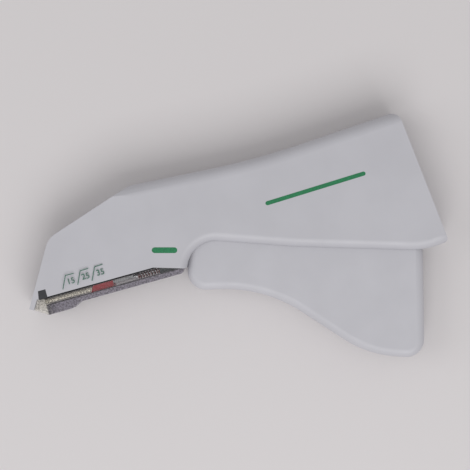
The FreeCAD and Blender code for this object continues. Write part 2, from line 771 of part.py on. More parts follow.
# Rocker
front_lean = "(Size.frontAngle - 90)"
ball_x = f"(-Size.noseReach + {ball_place} * cos{front_lean} - Size.ballHeight * sin{front_lean})"
ball_y = f"(-Size.noseDrop + {ball_place} * sin{front_lean} + Size.ballHeight * cos{front_lean})"
turn = frames["rocker"][2]
ball_along = f"(({ball_x} + Size.rockerBack) * cos({turn}) + ({ball_y} + Size.rockerDrop) * sin({turn}))"
ball_across = f"(-({ball_x} + Size.rockerBack) * sin({turn}) + ({ball_y} + Size.rockerDrop) * cos({turn}))"
rocker_plate = plate("RockerPlate", [
    (f"{ball_along} + Size.throatLead", f"{ball_across} - Size.throatDrop", "Size.throatRound"),
    ("-Size.elbowBack", "Size.elbowRise", "Size.elbowRound"),
    ("-Size.footBack", "-Size.rockerHub", "Size.rockerFootRound"),
    (f"{drive_distance} + Size.rockerTail", "-Size.rockerTailDrop", "Size.rockerTailRound"),
    (f"{drive_distance} + Size.rockerTail", "Size.rockerHub", "Size.rockerTailRound"),
    ("0", "Size.rockerTop", "Size.rockerBackRound"),
    (f"{ball_along} + Size.rockerBrowLead", "Size.rockerBrow", "Size.rockerBrowRound"),
    (f"{ball_along} + Size.jawLead", f"{ball_across} - Size.jawDrop", "Size.jawRound"),
], "Size.rockerThick", "rocker")
rocker_neck = box(
    "RockerNeck", ball_place, ball_place + " + Size.neckLength", "Size.ballHeight - Size.neckHeight / 2",
    "Size.ballHeight + Size.neckHeight / 2", "Size.rockerThick", "driver"
)
rocker_ball = rod(
    "RockerBall", "Size.noseBallRadius", "Size.rockerThick", ball_place, "Size.ballHeight", "driver"
)
slot_radius = "(Size.drivePinRadius + 2 * Size.runClearance)"
through = "Size.rockerThick + Size.spare"
drive_slot = fuse(
    "DriveSlot",
    rod("SlotFront", slot_radius, through, f"{drive_distance} - Size.slotPlay", "0", "rocker"),
    rod("SlotRear", slot_radius, through, f"{drive_distance} + Size.slotPlay", "0", "rocker"),
    box("SlotMiddle", f"{drive_distance} - Size.slotPlay", f"{drive_distance} + Size.slotPlay",
        "-" + slot_radius, slot_radius, through, "rocker"),
)
piece(cut(
    "RockerLever", fuse("RockerSolid", rocker_plate, rocker_neck, rocker_ball), drive_slot,
    rod("RockerBore", "Size.rockerPinRadius + Size.runClearance", through, "0", "0", "rocker"),
    rod("PivotWindow", "Size.pivotRadius + Size.windowGap", through, pivot_distance, "0", "rocker"),
), "rocker")

# Driver: nose plate, blade, head and guide, all square to the front wall
piece(box(
    "NosePlate", plate_front, plate_front + " + Size.noseplateThick",
    "-Size.frontLip", "Size.noseplateHeight",
    "Size.noseplateWidth", "driver"
), "nose_plate")
piece(cut(
    "DriverBlade",
    box("BladeBlank", blade_front, blade_rear,
        "Size.bladeBottom", "Size.bladeTop", "Size.bladeWidth", "driver"),
    box("BladeNotch", blade_front + " - Size.spare", blade_rear + " + Size.spare",
        "Size.bladeBottom - Size.spare", "Size.bladeBottom + Size.bladeNotch",
        "Size.anvilWidth + Size.bladeNotchGap", "driver"),
), "driver_blade")
piece(cut(
    "DriverHead",
    box("HeadBlock", blade_rear, blade_rear + " + Size.headDepth", "Size.headBottom", "Size.headTop",
        "Size.headWidth", "driver"),
    box("HeadPocket", ball_place + " - Size.noseBallRadius - 2 * Size.slideGap",
        blade_rear + " + Size.headDepth + Size.spare",
        "Size.ballHeight - Size.noseBallRadius - Size.ballGap",
        "Size.ballHeight + Size.noseBallRadius + Size.ballGap",
        "Size.rockerThick + 2 * Size.sideGap", "driver"),
), "driver_head")
guide_block = plate("GuideBlock", [
    (guide_front, f"{guide_front} * tan({lean}) + Size.guideGap", "0"),
    (guide_rear, f"{guide_rear} * tan({lean}) + Size.guideGap", "0"),
    (guide_rear, "Size.guideTop", "Size.guideRound"),
    (guide_front, "Size.guideTop", "0"),
], guide_width, "driver")
guide_tabs = tip_tabs(
    "GuideTabs", "0", "Size.tabDrop",
    guide_width + " - 2 * Size.slideGap", "Size.noseWidth + 2 * Size.tabProud"
)
piece(fuse("DriverGuide", guide_block, guide_tabs), "driver_guide")

# Staples: open U wires that lean with the driver, hung over the strip
first_place = f"({blade_rear} + Size.slideGap + Size.wireSize / 2)"
crown_drop = f"(Size.crownGap + Size.wireSize * (cos({lean}) + sin({lean})) / 2)"
crown_height = f"({first_place} * tan({lean}) - {crown_drop} / cos({lean}))"
staple = fuse(
    "Staple",
    box("Crown", first_place + " - Size.wireSize / 2", first_place + " + Size.wireSize / 2",
        crown_height + " - Size.wireSize / 2", crown_height + " + Size.wireSize / 2",
        "Size.crownWidth", "driver"),
    box("NearLeg", first_place + " - Size.wireSize / 2", first_place + " + Size.wireSize / 2",
        crown_height + " - Size.legHeight", crown_height, "Size.wireSize", "driver",
        "Size.crownWidth / 2 - Size.wireSize"),
    box("FarLeg", first_place + " - Size.wireSize / 2", first_place + " + Size.wireSize / 2",
        crown_height + " - Size.legHeight", crown_height, "Size.wireSize", "driver", "-Size.crownWidth / 2"),
)
doc.recompute()
channel_turn = math.radians(value("Size.channelAngle"))
rearward = FreeCAD.Vector(math.cos(channel_turn), math.sin(channel_turn), 0)
row = [
    staple.Shape.Solids[0].translated(rearward * value("Size.staplePitch") * number)
    for number in range(int(value("Size.stapleCount")))
]
staple_row = doc.addObject("Part::Feature", "StapleRow")
staple_row.Shape = Part.makeCompound(row)
piece(staple_row, "staples")

# Anvil plate: strip under the crowns with the narrow anvil at its front
strip_top = f"(2 * {crown_drop} - Size.crownGap + Size.stripGap)"
strip_end = "(Size.channelLength - Size.stripInset)"
strip_bottom = f"({strip_top} + Size.stripThick)"
anvil_front = f"({blade_front} + Size.slideGap)"
anvil_side = plate("AnvilSide", [
    (f"{anvil_front} / cos({lean}) - {strip_top} * tan({lean})", "-" + strip_top, "0"),
    (f"{anvil_front} / cos({lean}) - {strip_bottom} * tan({lean})", "-" + strip_bottom, "0"),
    (strip_end, "-" + strip_bottom, "0"),
    (strip_end, "-" + strip_top, "0"),
], "Size.stripWidth", "channel")
side_trims = [
    box("AnvilTrim" + side, "0", "Size.anvilNeck", "-Size.spare", "0", "Size.stripWidth", "channel", start)
    for side, start in (("Near", "Size.anvilWidth / 2"), ("Far", "-Size.anvilWidth / 2 - Size.stripWidth"))
]


# A short upright rod across the strip, standing in the channel frame.
def stud(name, radius, bottom, top, place, across):
    solid = doc.addObject("Part::Cylinder", name)
    solid.setExpression("Radius", radius)
    solid.setExpression("Height", f"({top}) - ({bottom})")
    axis = FreeCAD.Rotation(FreeCAD.Vector(0, 0, 1), value("Size.channelAngle"))
    solid.Placement = FreeCAD.Placement(
        FreeCAD.Vector(0, 0, 0), axis * FreeCAD.Rotation(FreeCAD.Vector(1, 0, 0), -90)
    )
    turn = "Size.channelAngle"
    solid.setExpression(
        "Placement.Base.x", f"-Size.noseReach + ({place}) * cos({turn}) - ({bottom}) * sin({turn})"
    )
    solid.setExpression(
        "Placement.Base.y", f"-Size.noseDrop + ({place}) * sin({turn}) + ({bottom}) * cos({turn})"
    )
    solid.setExpression("Placement.Base.z", across)
    return solid


rivet_sides = (("Near", "Size.rivetSpread"), ("Far", "-Size.rivetSpread"))
rivet_place = "(Size.channelLength - Size.rivetInset)"
rivet_bores = [
    stud("RivetBore" + side, "Size.rivetRadius", "-Size.spare", "Size.spare", rivet_place, across)
    for side, across in rivet_sides
]
rod_slot = box(
    "RodSlot", "Size.stripSlotStart", "Size.channelLength",
    "-Size.spare", "0", "Size.stripSlotWidth", "channel"
)
piece(cut("AnvilPlate", anvil_side, *side_trims, *rivet_bores, rod_slot), "anvil_plate")
piece(box(
    "EjectorLeaf", anvil_front + " + Size.ejectorStart", "Size.ejectorEnd",
    f"-{strip_bottom} - Size.ejectorThick", "-" + strip_bottom, "Size.ejectorWidth", "channel"
), "ejector_spring")

# Magazine: clear channel with a chin, two cheeks that run on to the nose tip, a cross web and two lug pairs
tip_front = f"({plate_front} + Size.cheekGap)"
tip_top = f"(({tip_front} * sin({lean}) - Size.cheekDrop) / cos({lean}))"
tip_foot = "(-Size.frontLip)"
magazine_form = plate("MagazineForm", [
    ("Size.cheekFront", "0", "0"),
    ("Size.cheekFront", "-Size.cheekDrop", "0"),
    (f"{tip_front} * cos({lean}) + {tip_top} * sin({lean})", "-Size.cheekDrop", "0"),
    (f"{tip_front} * cos({lean}) + {tip_foot} * sin({lean})",
     f"-{tip_front} * sin({lean}) + {tip_foot} * cos({lean})", "Size.tipRound"),
    ("Size.chinFront", "-Size.chinDrop", "Size.chinRound"),
    ("Size.chinRear", "-Size.chinDrop", "Size.chinRearRound"),
    ("Size.chinRear + Size.chinSlope", "-Size.magazineDrop", "Size.slopeRound"),
    (foot_along + " - Size.footSlant", "-Size.magazineDrop", "Size.footEdgeRound"),
    (foot_along, "-" + foot_drop, "0"),
    ("Size.channelLength", "0", "0"),
], "Size.magazineWidth", "channel")
magazine_inner = "Size.magazineWidth - 2 * Size.magazineWall"
floor_top = "(-Size.magazineDrop + Size.magazineFloor)"
magazine_space = box(
    "MagazineSpace", "-2 * Size.spare", foot_along + " - Size.magazineWall", floor_top, "Size.spare",
    magazine_inner, "channel"
)
mouth_space = box(
    "MouthSpace", "-2 * Size.spare", "Size.chinFloor",
    "-Size.chinDrop - Size.spare", "0", magazine_inner, "channel"
)
web_bottom = f"({strip_top} - Size.stripGap)"
web_block = box(
    "WebBlock", lug_places["FrontLug"] + " - Size.lugHalf", lug_end,
    "-" + web_bottom, "0", "Size.magazineWidth", "channel"
)
web = cut("Web", web_block, box(
    "WebOpening", collar_place + " - Size.webGap", "Size.channelLength", "-Size.spare", "Size.spare",
    "Size.webOpening", "channel"
))
lugs = []
for name, place in lug_places.items():
    for side, start in (("Near", "Size.lugOuter / 2 - Size.lugThick"), ("Far", "-Size.lugOuter / 2")):
        lugs.append(box(
            name + side, place + " - Size.lugHalf", place + " + Size.lugHalf", "-" + web_bottom,
            "Size.lugHeight", "Size.lugThick", "channel", start
        ))
piece(cut(
    "Magazine",
    fuse("MagazineSolid", cut("MagazineTrough", magazine_form, magazine_space, mouth_space), web, *lugs),
    pin_hole("FrontLugBore", "Size.magazinePinRadius", lug_places["FrontLug"], "Size.lugPin", "channel"),
    pin_hole("RearLugBore", "Size.magazinePinRadius", lug_places["RearLug"], "Size.lugPin", "channel"),
    *[
        stud("WebBore" + side, "Size.rivetRadius", f"-{strip_bottom}", "Size.spare", rivet_place, across)
        for side, across in rivet_sides
    ],
), "magazine")
magazine_pins = doc.addObject("Part::Compound", "MagazinePins")
magazine_pins.Links = [
    pin(name + "_pin", "Size.magazinePinRadius", pin_length, place, "Size.lugPin", "channel")
    for name, place in lug_places.items()
]
piece(magazine_pins, "magazine_pins")
rivets = doc.addObject("Part::Compound", "Rivets")
rivets.Links = [
    fuse(
        "Rivet" + side,
        stud("RivetShank" + side, "Size.rivetRadius", "-" + strip_bottom,
             "Size.rivetTop", rivet_place, across),
        stud("RivetTop" + side, "Size.rivetHead", "0", "Size.rivetTop", rivet_place, across),
        stud("RivetFoot" + side, "Size.rivetHead", f"-{strip_bottom} - Size.rivetFoot", "-" + strip_bottom,
             rivet_place, across),
    )
    for side, across in rivet_sides
]
piece(rivets, "strip_rivets")

# Feeder: shoe behind the last staple, rod with a collar, spring and stop
shoe_place = (
    f"(({first_place} + Size.wireSize / 2 + Size.crownGap) / cos({lean})"
    f" + (Size.stapleCount - 1) * Size.staplePitch)"
)
shoe_form = plate("ShoeForm", [
    (f"{shoe_place} - Size.shoeGap * tan({lean})", "-Size.shoeGap", "0"),
    (f"{shoe_place} - Size.shoeHeight * tan({lean})", "-Size.shoeHeight", "0"),
    (f"{shoe_place} + Size.shoeLength", "-Size.shoeHeight", "Size.shoeRound"),
    (f"{shoe_place} + Size.shoeLength", "-Size.shoeGap", "0"),
], magazine_inner + " - 2 * Size.sideGap", "channel")
shoe_end = f"({shoe_place} + Size.shoeLength)"
key_start = f"({shoe_end} - Size.keyLength)"
shoe_slot = cut(
    "ShoeSlot",
    box("ShoeSlotBlock", "0", "Size.channelLength", f"-{strip_bottom} - Size.shoeGap",
        f"-{strip_top} + Size.shoeGap", "Size.stripWidth + 2 * Size.shoeGap", "channel"),
    box("ShoeKey", key_start, "Size.channelLength", "-Size.spare", "0", "Size.keyWidth", "channel"),
)
shoe_relief = box(
    "ShoeRelief", "0", key_start, f"-{strip_bottom} - Size.ejectorThick - Size.shoeGap", "-" + strip_bottom,
    "Size.ejectorWidth + 2 * Size.shoeGap", "channel"
)


# A round bar along the channel at the rod's height.
def channel_bar(name, radius, start, end):
    solid = doc.addObject("Part::Cylinder", name)
    solid.setExpression("Radius", radius)
    solid.setExpression("Height", f"({end}) - ({start})")
    axis = FreeCAD.Rotation(FreeCAD.Vector(0, 0, 1), value("Size.channelAngle"))
    solid.Placement = FreeCAD.Placement(
        FreeCAD.Vector(0, 0, 0), axis * FreeCAD.Rotation(FreeCAD.Vector(0, 1, 0), 90)
    )
    turn = "Size.channelAngle"
    solid.setExpression(
        "Placement.Base.x", f"-Size.noseReach + ({start}) * cos({turn}) + Size.rodDrop * sin({turn})"
    )
    solid.setExpression(
        "Placement.Base.y", f"-Size.noseDrop + ({start}) * sin({turn}) - Size.rodDrop * cos({turn})"
    )
    return solid


rod_start = f"({key_start} + Size.rodInset)"
piece(cut(
    "FeederShoe", shoe_form, shoe_slot, shoe_relief,
    channel_bar("ShoeBore", "Size.rodRadius", rod_start, shoe_end + " + Size.spare"),
), "feeder_shoe")
piece(fuse(
    "FeederRod", channel_bar("RodBar", "Size.rodRadius", rod_start, stop_place + " + Size.rodTail"),
    channel_bar("RodCollar", "Size.collarRadius", collar_place, collar_place + " + Size.collarLength"),
), "feeder_rod")
stop_block = plate("StopBlock", [
    (stop_place, floor_top, "0"),
    (slot_end + " - Size.stopGap", floor_top, "0"),
    (slot_end + " - Size.stopGap", "Size.stopRise", "Size.stopRound"),
    (stop_place, "Size.stopRise", "0"),
], "Size.slotWidth - 2 * Size.sideGap", "channel")
piece(cut(
    "SpringStop", stop_block,
    channel_bar(
        "StopBore", "Size.rodRadius + Size.stopBoreGap",
        stop_place + " - Size.spare", slot_end + " + Size.spare"
    ),
), "spring_stop")


# A round wire swept along a path.
def swept_wire(name, edges, radius):
    path = Part.Wire(edges)
    start = edges[0].valueAt(edges[0].FirstParameter)
    heading = edges[0].tangentAt(edges[0].FirstParameter)
    section = Part.Wire(Part.makeCircle(radius, start, heading))
    spring = doc.addObject("Part::Feature", name)
    spring.Shape = path.makePipeShell([section], True, False)
    return spring


feed_wire = value("Size.feedWire")
feed_gap = value("Size.feedWire / 2 + Size.springGap")
feed_start = value(collar_place + " + Size.collarLength") + feed_gap
feed_length = value(stop_place) - feed_gap - feed_start
feed_coil = Part.makeHelix(feed_length / value("Size.feedTurns"), feed_length, value("Size.feedCoil"))
feed_spring = swept_wire("FeederSpring", feed_coil.Edges, feed_wire / 2)
feed_spring.Placement = FreeCAD.Placement(
    FreeCAD.Vector(-value("Size.noseReach"), -value("Size.noseDrop"), 0)
    + rearward * feed_start
    + FreeCAD.Vector(math.sin(channel_turn), -math.cos(channel_turn), 0) * value("Size.rodDrop"),
    FreeCAD.Rotation(FreeCAD.Vector(0, 0, 1), value("Size.channelAngle"))
    * FreeCAD.Rotation(FreeCAD.Vector(0, 1, 0), 90),
)
piece(feed_spring, "feeder_spring")

# Return spring round the pivot pin, with one leg on the anchor post and one on a rib of the trigger
coil_radius, coil_pitch = value("Size.returnCoil"), value("Size.returnPitch")
coil = Part.makeHelix(coil_pitch, coil_pitch * value("Size.returnTurns"), coil_radius)
coil.rotate(FreeCAD.Vector(0, 0, 0), FreeCAD.Vector(0, 0, 1), value("Size.returnStart"))
coil.translate(FreeCAD.Vector(0, 0, value("(Size.rockerThick + Size.returnWire) / 2 + Size.returnGap")))
first_turn, last_turn = coil.Edges[0], coil.Edges[-1]
coil_start = first_turn.valueAt(first_turn.FirstParameter)
coil_end = last_turn.valueAt(last_turn.LastParameter)


# The level direction in which a leg leaves the coil.
def leg_heading(edge, parameter):
    heading = edge.tangentAt(parameter)
    return FreeCAD.Vector(heading.x, heading.y, 0).normalize()


anchor_end = coil_start - leg_heading(first_turn, first_turn.FirstParameter) * value("Size.anchorLeg")
trigger_end = coil_end + leg_heading(last_turn, last_turn.LastParameter) * value("Size.triggerLeg")
return_path = [Part.makeLine(anchor_end, coil_start), *coil.Edges, Part.makeLine(coil_end, trigger_end)]
piece(swept_wire("ReturnSpring", return_path, value("Size.returnWire") / 2), "trigger_return_spring")

# Write every piece once the whole document is sound
doc.recompute()
for item in doc.Objects:
    if "Invalid" in item.State or "Error" in item.State:
        raise RuntimeError("failed: " + item.Name)
for item in nodes:
    if item.Shape.isNull() or not item.Shape.isValid():
        raise RuntimeError("bad shape: " + item.Label)
os.makedirs("parts", exist_ok=True)
for item in nodes:
    item.Shape.exportStep("parts/%s.step" % item.Label)
    size_box = item.Shape.BoundBox
    print("%-22s solids %2d  volume %9.2f  X %7.2f %7.2f  Y %7.2f %7.2f  Z %6.2f %6.2f" % (
        item.Label, len(item.Shape.Solids), item.Shape.Volume, size_box.XMin, size_box.XMax,
        size_box.YMin, size_box.YMax, size_box.ZMin, size_box.ZMax
    ))
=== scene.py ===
import math

import bmesh
import bpy
from mathutils import Matrix, Vector


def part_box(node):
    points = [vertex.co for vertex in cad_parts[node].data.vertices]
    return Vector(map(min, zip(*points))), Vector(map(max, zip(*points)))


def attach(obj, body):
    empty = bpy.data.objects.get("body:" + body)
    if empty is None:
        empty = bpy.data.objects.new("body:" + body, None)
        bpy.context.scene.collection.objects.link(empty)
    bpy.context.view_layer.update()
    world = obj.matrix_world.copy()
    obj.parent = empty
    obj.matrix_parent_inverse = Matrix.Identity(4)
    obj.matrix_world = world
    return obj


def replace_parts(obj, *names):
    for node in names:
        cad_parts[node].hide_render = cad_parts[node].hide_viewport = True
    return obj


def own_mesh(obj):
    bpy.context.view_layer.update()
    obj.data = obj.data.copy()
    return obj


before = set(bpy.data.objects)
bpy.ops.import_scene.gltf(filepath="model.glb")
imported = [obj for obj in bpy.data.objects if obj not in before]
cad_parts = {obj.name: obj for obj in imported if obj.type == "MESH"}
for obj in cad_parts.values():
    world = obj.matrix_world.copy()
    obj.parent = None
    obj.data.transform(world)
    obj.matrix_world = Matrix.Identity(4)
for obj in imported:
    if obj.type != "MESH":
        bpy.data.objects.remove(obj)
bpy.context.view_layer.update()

mm = 0.001
print("frame loaded with", len(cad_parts), "nodes")

# The photograph's scale and the pixel that lies on the trigger's pivot
photo = {"pivotX": 203, "pivotY": 233, "perPixel": 0.383, "size": 470}
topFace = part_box("left_housing")[1][2]  # height of the side that faces the camera
middleHeight = topFace / 2

# Nose tip in the side plane, and the turns of the channel and of the driver's cross direction
nose = {"x": -65.9, "y": -26.2, "channelTurn": 15.5, "driverTurn": -14.9}


def fromPhoto(px, py):
    # a pixel of the photograph as a place on the upper face, in metres
    step = photo["perPixel"] * mm
    return Vector(((px - photo["pivotX"]) * step, (photo["pivotY"] - py) * step, topFace))


def fromNose(turn, along, up, across=0.0):
    # a place given in millimetres from the nose tip, in a frame turned by so many degrees
    c, s = math.cos(math.radians(turn)), math.sin(math.radians(turn))
    x = nose["x"] + along * c - up * s
    y = nose["y"] + along * s + up * c
    return Vector((x * mm, y * mm, middleHeight + across * mm))


# Colours are written as they look on screen, 0 to 255
def colour(red, green, blue, alpha=1.0):
    channels = [value / 255 for value in (red, green, blue)]
    linear = [c / 12.92 if c <= 0.04045 else ((c + 0.055) / 1.055) ** 2.4 for c in channels]
    return (*linear, alpha)


def shade(base, factor):
    return tuple(min(channel * factor, 1) for channel in base[:3]) + (base[3],)


white = colour(255, 255, 255)

# What the finishes share: the noise values that a mottle lies between, detail of the fine noises,
# gloss patches against flow marks, depths in mm, and the shades and the stretch of drawn steel
surface = {
    "mottle": (0.35, 0.65), "fineDetail": 2.0, "glossScale": 3, "plasticDepth": 0.05,
    "steelDepth": 0.03, "steelShades": (0.82, 1.06), "steelStretch": 0.06,
}


def startMaterial(name):
    material = bpy.data.materials.new(name)
    material.use_nodes = True
    tree = material.node_tree
    place = tree.nodes.new("ShaderNodeTexCoord").outputs["Object"]
    return material, tree, tree.nodes["Principled BSDF"], place


def addMapping(tree, place, turn=(0, 0, 0), scale=(1, 1, 1), shift=(0, 0, 0)):
    mapping = tree.nodes.new("ShaderNodeMapping")
    mapping.inputs["Rotation"].default_value = turn
    mapping.inputs["Scale"].default_value = scale
    mapping.inputs["Location"].default_value = shift
    tree.links.new(place, mapping.inputs["Vector"])
    return mapping.outputs["Vector"]


def addAxis(tree, vector, axis):
    separate = tree.nodes.new("ShaderNodeSeparateXYZ")
    tree.links.new(vector, separate.inputs["Vector"])
    return separate.outputs[axis]


def addMath(tree, operation, *sources):
    node = tree.nodes.new("ShaderNodeMath")
    node.operation = operation
    for source, target in zip(sources, node.inputs):
        tree.links.new(source, target)
    return node.outputs["Value"]


def addNoise(tree, place, scale, detail=3.0):
    noise = tree.nodes.new("ShaderNodeTexNoise")
    noise.inputs["Scale"].default_value = scale
    noise.inputs["Detail"].default_value = detail
    tree.links.new(place, noise.inputs["Vector"])
    return noise.outputs["Fac"]


def addRamp(tree, source, stops):
    # stops: (position, colour) from low to high
    ramp = tree.nodes.new("ShaderNodeValToRGB")
    elements = ramp.color_ramp.elements
    while len(elements) < len(stops):
        elements.new(0.5)
    for element, (position, tint) in zip(elements, stops):
        element.position = position
        element.color = tint
    tree.links.new(source, ramp.inputs["Fac"])
    return ramp


def addMottle(tree, source, base, dark, light):
    # patches between a darker and a lighter shade of one colour
    stops = list(zip(surface["mottle"], (shade(base, dark), shade(base, light))))
    return addRamp(tree, source, stops).outputs["Color"]


def addRange(tree, source, low, high, start=0.3, end=0.7):
    # a value from low to high while the source goes from start to end
    spread = tree.nodes.new("ShaderNodeMapRange")
    spread.inputs["From Min"].default_value = start
    spread.inputs["From Max"].default_value = end
    spread.inputs["To Min"].default_value = low
    spread.inputs["To Max"].default_value = high
    tree.links.new(source, spread.inputs["Value"])
    return spread.outputs["Result"]


def addMix(tree, kind, blend, first, second, factor):
    # mixes two colours or two numbers, each a socket or a plain value
    mix = tree.nodes.new("ShaderNodeMix")
    mix.data_type = kind
    mix.blend_type = blend
    # the sockets of each kind share their names, so they are taken by number
    firstPlace, secondPlace, resultPlace = {"RGBA": (6, 7, 2), "FLOAT": (2, 3, 0)}[kind]
    for source, place in ((factor, 0), (first, firstPlace), (second, secondPlace)):
        if isinstance(source, bpy.types.NodeSocket):
            tree.links.new(source, mix.inputs[place])
        else:
            mix.inputs[place].default_value = source
    return mix.outputs[resultPlace]


def addGloss(tree, shader, source, roughness):
    tree.links.new(addRange(tree, source, *roughness), shader.inputs["Roughness"])


def addBump(tree, shader, source, strength, depth):
    bump = tree.nodes.new("ShaderNodeBump")
    bump.inputs["Strength"].default_value = strength
    bump.inputs["Distance"].default_value = depth * mm
    tree.links.new(source, bump.inputs["Height"])
    tree.links.new(bump.outputs["Normal"], shader.inputs["Normal"])


def mouldedPlastic(name, look):
    # satin moulded plastic: faint flow mottle, uneven gloss and a spark-eroded grain
    material, tree, shader, place = startMaterial(name)
    flow = addNoise(tree, place, look["flowScale"])
    tint = addMottle(tree, flow, look["base"], 1 - look["flow"], 1 + look["flow"])
    if "seam" in look:
        # the parting line of the two shells, halfway up, as a painted shade line in the gap
        # between them
        level = addMapping(tree, place, shift=(0, 0, -middleHeight))
        away = addMath(tree, "ABSOLUTE", addAxis(tree, level, "Z"))
        halfLine = look["seam"] * mm
        seam = addRange(tree, away, look["seamShade"], 1, halfLine, 2 * halfLine)
        tint = addMix(tree, "RGBA", "MULTIPLY", tint, seam, 1.0)
    tree.links.new(tint, shader.inputs["Base Color"])
    gloss = addNoise(tree, place, look["flowScale"] * surface["glossScale"])
    addGloss(tree, shader, gloss, look["roughness"])
    shader.inputs["Specular IOR Level"].default_value = look["specular"]
    grain = addNoise(tree, place, look["grainScale"], surface["fineDetail"])
    addBump(tree, shader, grain, look["grain"], surface["plasticDepth"])
    return material


def channelAxes(tree, place):
    # how far along the channel from the nose tip, and how far up from the channel's edge
    turn = math.radians(nose["channelTurn"])
    start = -nose["x"] * math.cos(turn) - nose["y"] * math.sin(turn)
    height = nose["x"] * math.sin(turn) - nose["y"] * math.cos(turn)
    level = addMapping(tree, place, (0, 0, -turn), shift=(start * mm, height * mm, 0))
    return addAxis(tree, level, "X"), addAxis(tree, level, "Y")


def channelBands(tree, along, up, look):
    # bands by their drop below the channel's edge; the nearly black upper one, a painted shadow
    # of the gap under the housing, starts behind the tip
    soft, deepest = look["soft"], look["deepest"]

    def band(drop):
        return 1 - drop / deepest

    # the painted gap shadow is held off until behind the tip
    edgeStart, edgeEnd = look["edgeStart"] * mm, (look["edgeStart"] + soft) * mm
    gapShadowCap = addRange(tree, along, band(look["edgeDepth"] + 2 * soft), 1, edgeStart, edgeEnd)
    level = addMath(tree, "MINIMUM", addRange(tree, up, 0, 1, -deepest * mm, 0), gapShadowCap)
    # the dark line band at the floor's top is a painted shade line
    borders = (
        (look["lineFoot"], "floor", "line"), (look["floorTop"], "line", "window"),
        (look["edgeDepth"], "window", "edge"),
    )
    stops = [(0.0, look["floor"])]
    for drop, below, above in borders:
        stops += [(band(drop + soft), look[below]), (band(drop - soft), look[above])]
    return addRamp(tree, level, stops + [(1.0, look["edge"])])


def clearPlastic(name, look):
    # clear moulded plastic: bands and clouds on the two cheeks, with painted shadow, shade and
    # glints among the bands; evenly clear between the cheeks
    material, tree, shader, place = startMaterial(name)
    along, up = channelAxes(tree, place)
    bands = channelBands(tree, along, up, look)
    tipEnd, tipFade = look["tipEnd"] * mm, (look["tipEnd"] - look["tipFade"]) * mm
    # the pale tip colour is painted glints of the steel seen through the clear nose
    atTipGlint = addRange(tree, along, 1, 0, tipFade, tipEnd)
    # painted shade darkens the bands on the chin just behind the tip
    paintedChinShade = addRange(tree, along, look["chinShade"], 1, tipEnd, look["chinEnd"] * mm)
    cloud = addNoise(tree, place, look["cloudScale"], look["cloudDetail"])
    darkest = shade(white, look["cloud"])
    clouds = addRamp(tree, cloud, list(zip(look["cloudRange"], (darkest, white))))

    tint = addMix(tree, "RGBA", "MULTIPLY", bands.outputs["Color"], paintedChinShade, 1.0)
    tint = addMix(tree, "RGBA", "MIX", tint, look["tip"], atTipGlint)
    tint = addMix(tree, "RGBA", "MULTIPLY", tint, clouds.outputs["Color"], 1.0)
    cover = addMix(tree, "FLOAT", "MIX", bands.outputs["Alpha"], look["tip"][3], atTipGlint)
    cover = addMath(tree, "MULTIPLY", cover, addRange(tree, cloud, *look["patches"]))

    facing = tree.nodes.new("ShaderNodeTexCoord").outputs["Normal"]
    sideways = addMath(tree, "ABSOLUTE", addAxis(tree, facing, "Z"))
    onCheek = addRange(tree, sideways, 0, 1, *look["cheekFacing"])
    tint = addMix(tree, "RGBA", "MIX", look["between"], tint, onCheek)
    cover = addMix(tree, "FLOAT", "MIX", look["between"][3], cover, onCheek)
    tree.links.new(tint, shader.inputs["Base Color"])
    tree.links.new(cover, shader.inputs["Alpha"])

    shader.inputs["IOR"].default_value = look["refraction"]
    shader.inputs["Specular IOR Level"].default_value = look["specular"]
    addGloss(tree, shader, addNoise(tree, place, look["glossScale"]), look["roughness"])
    ripple = addNoise(tree, place, look["rippleScale"], surface["fineDetail"])
    addBump(tree, shader, ripple, look["ripple"], look["rippleDepth"])
    return material


def steelFinish(name, look):
    # cold rolled or drawn steel: fine lines along one direction, small stains in the gloss
    material, tree, shader, place = startMaterial(name)
    shader.inputs["Metallic"].default_value = 1.0
    stain = addNoise(tree, place, look["stainScale"])
    tint = addMottle(tree, stain, look["base"], *surface["steelShades"])
    tree.links.new(tint, shader.inputs["Base Color"])
    turn = (0, 0, -math.radians(look["turn"]))
    drawn = addMapping(tree, place, turn, (surface["steelStretch"], 1, 1))
    lines = addNoise(tree, drawn, look["lineScale"], surface["fineDetail"])
    addGloss(tree, shader, lines, look["roughness"])
    addBump(tree, shader, lines, look["lines"], surface["steelDepth"])
    return material


def printInk(name, look):
    # pad-printed ink with slightly uneven cover
    material, tree, shader, place = startMaterial(name)
    cover = addNoise(tree, place, look["coverScale"], look["coverDetail"])
    tint = addMottle(tree, cover, look["base"], *look["shades"])
    tree.links.new(tint, shader.inputs["Base Color"])
    shader.inputs["Roughness"].default_value = look["roughness"]
    return material


plasticLooks = {
    "whitePlastic": {
        "base": colour(189, 188, 194), "flow": 0.02, "flowScale": 60, "roughness": (0.36, 0.46),
        "specular": 0.45, "grainScale": 2600, "grain": 0.25, "seam": 0.07, "seamShade": 0.3,
    },
    "triggerPlastic": {
        "base": colour(190, 189, 195), "flow": 0.02, "flowScale": 75, "roughness": (0.38, 0.48),
        "specular": 0.45, "grainScale": 2400, "grain": 0.3,
    },
    "greyPlastic": {
        "base": colour(138, 137, 142), "flow": 0.04, "flowScale": 140, "roughness": (0.4, 0.5),
        "specular": 0.4, "grainScale": 3000, "grain": 0.25,
    },
    "darkPlastic": {
        "base": colour(62, 70, 68), "flow": 0.1, "flowScale": 300, "roughness": (0.3, 0.44),
        "specular": 0.5, "grainScale": 4000, "grain": 0.2,
    },
    "blackPlastic": {
        "base": colour(48, 48, 52), "flow": 0.12, "flowScale": 300, "roughness": (0.28, 0.42),
        "specular": 0.5, "grainScale": 4000, "grain": 0.2,
    },
    "redPlastic": {
        "base": colour(158, 40, 46), "flow": 0.1, "flowScale": 260, "roughness": (0.26, 0.4),
        "specular": 0.5, "grainScale": 3400, "grain": 0.2,
    },
}
